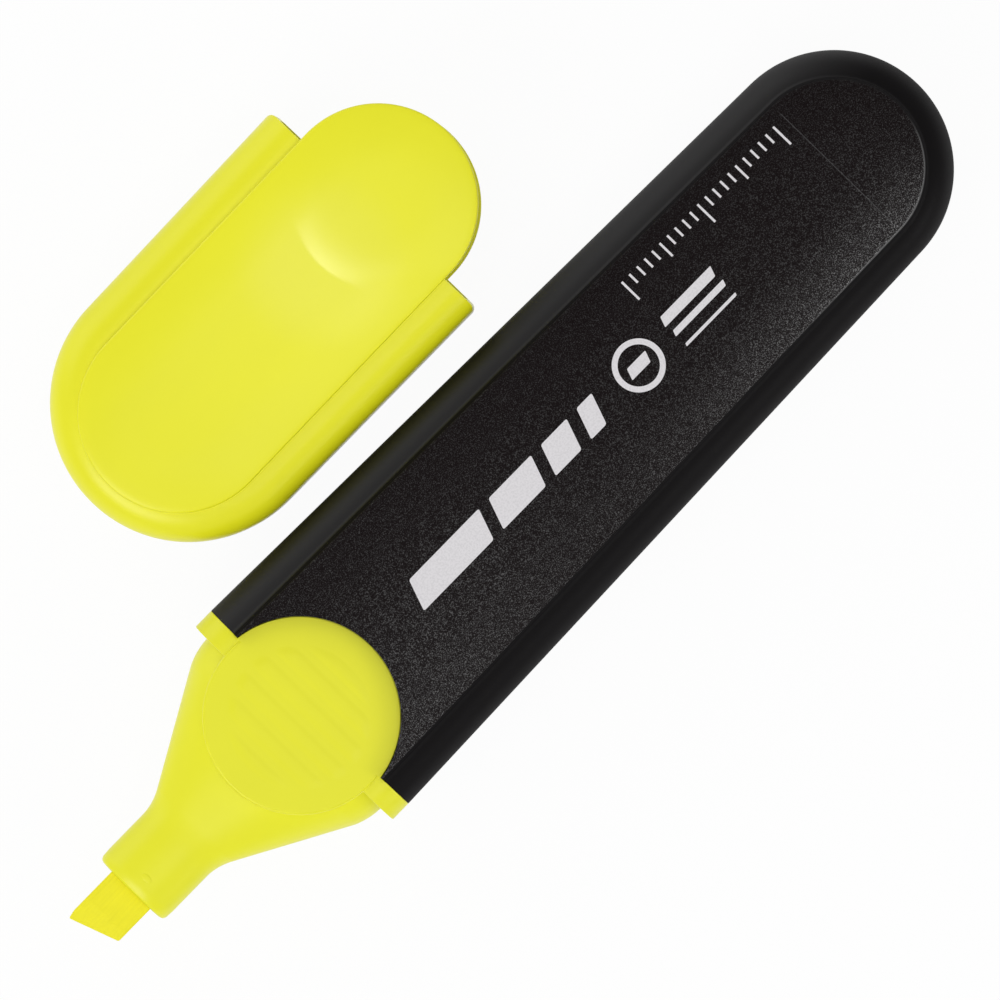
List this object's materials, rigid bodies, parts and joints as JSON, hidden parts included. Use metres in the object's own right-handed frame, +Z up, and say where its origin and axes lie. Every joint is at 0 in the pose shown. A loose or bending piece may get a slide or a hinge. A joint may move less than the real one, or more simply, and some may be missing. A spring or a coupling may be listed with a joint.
{
  "type": "highlighter",
  "caption": "Flat highlighter with a slanted chisel nib, raised side panels and a round-tongued pull-off cap lying beside it.",
  "frame": {"origin": "on the flat strip of the barrel's lower panel, half way along the barrel, where the pen rests on the table", "axes": "+X along the pen towards the barrel's round end, with the nib towards -X; +Y across the pen towards the cap; +Z up, out of the upper panel"},
  "size_m": [0.1106, 0.0539, 0.0153],
  "materials": {
    "barrel_black": "fine textured panels with a smooth rim",
    "section_yellow": "satin moulded, fluorescent yellow",
    "nib_fibre": "pressed fibre soaked in yellow ink",
    "reservoir_fibre": "fibre bundle soaked in ink",
    "sleeve_film": "clear film",
    "cap_yellow": "smooth moulded, fluorescent yellow",
    "seal_plastic": "soft natural plastic"
  },
  "bodies": {
    "pen": {"barrel": "barrel_black", "front_section": "section_yellow", "nib": "nib_fibre", "reservoir_core": "reservoir_fibre", "reservoir_sleeve": "sleeve_film"},
    "cap": {"cap": "cap_yellow", "cap_seal": "seal_plastic"}
  },
  "joints": [
    {"name": "cap_pull_off", "type": "slide", "parent": "pen", "child": "cap", "axis": [-1, 0, 0], "range_m": [0, 0.078]}
  ]
}
